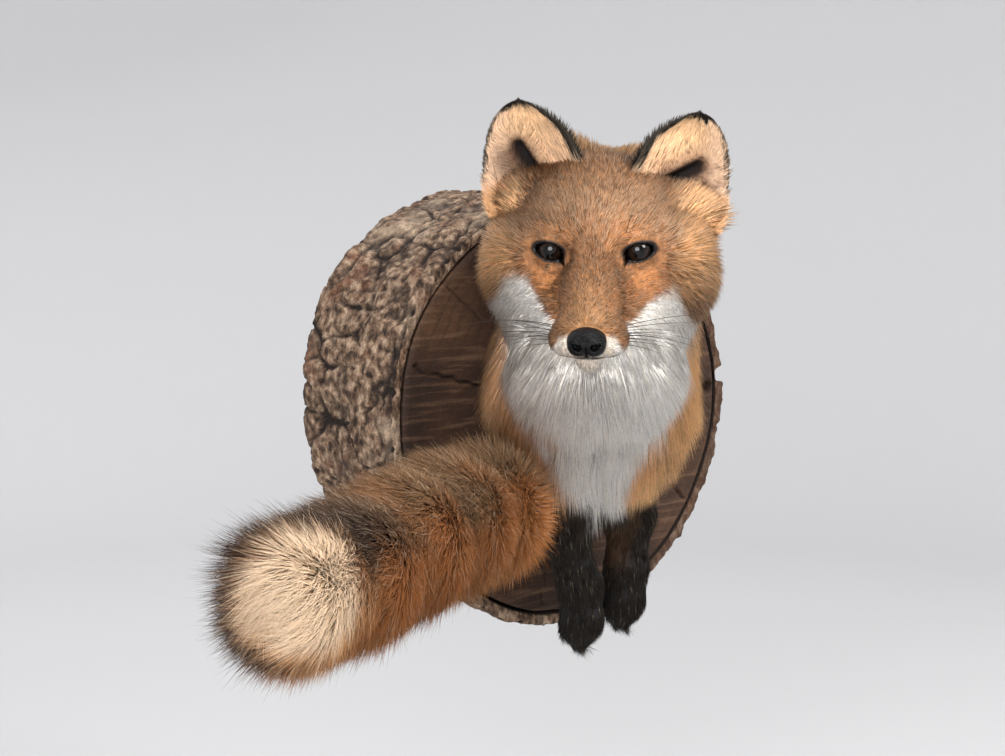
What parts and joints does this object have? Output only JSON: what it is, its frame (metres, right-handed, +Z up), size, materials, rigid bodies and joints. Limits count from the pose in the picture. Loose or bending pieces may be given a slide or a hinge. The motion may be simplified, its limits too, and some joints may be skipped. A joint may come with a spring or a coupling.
{
  "type": "taxidermy red fox wall mount",
  "caption": "Life-size half mount of a fox: head, neck, chest, forelegs and brush come out of a bark-edged slice of log that hangs flat on a wall.",
  "frame": {"origin": "middle of the log slice's flat back, which lies against the wall", "axes": "+Y into the wall, +Z up, +X to the right as one faces the wall"},
  "size_m": [0.5086, 0.308, 0.3623],
  "materials": {
    "coat_rust": "rust-tan fur with pale hair tips",
    "coat_white": "soft white and pale grey fur",
    "coat_ear": "cream-tan hair inside, black-brown short fur behind",
    "coat_dark": "short black-brown fur",
    "coat_brush": "long rust fur with black hair tips, grizzled on top",
    "coat_tip": "long cream fur with a black-brown fringe",
    "nose": "black, pebbled and slightly moist",
    "eye": "very dark brown glass, polished",
    "wood": "dark sawn end grain, dry and unvarnished",
    "bark": "rough grey-brown bark in plates, with pale lichen"
  },
  "bodies": {
    "root": {"head": "coat_rust", "muzzle": "coat_rust", "jaw": "coat_white", "eye_left": "eye", "ear_left": "coat_ear", "eye_right": "eye", "ear_right": "coat_ear", "nose": "nose", "neck": "coat_rust", "chest": "coat_white", "foreleg_left": "coat_dark", "forepaw_left": "coat_dark", "foreleg_right": "coat_dark", "forepaw_right": "coat_dark", "tail_base": "coat_brush", "tail_middle": "coat_brush", "tail_tip": "coat_tip", "log_wood": "wood", "log_bark_1": "bark", "log_bark_2": "bark", "log_bark_3": "bark", "log_bark_4": "bark", "log_bark_5": "bark", "log_bark_6": "bark", "log_bark_7": "bark", "log_bark_8": "bark", "log_bark_9": "bark"}
  },
  "joints": []
}
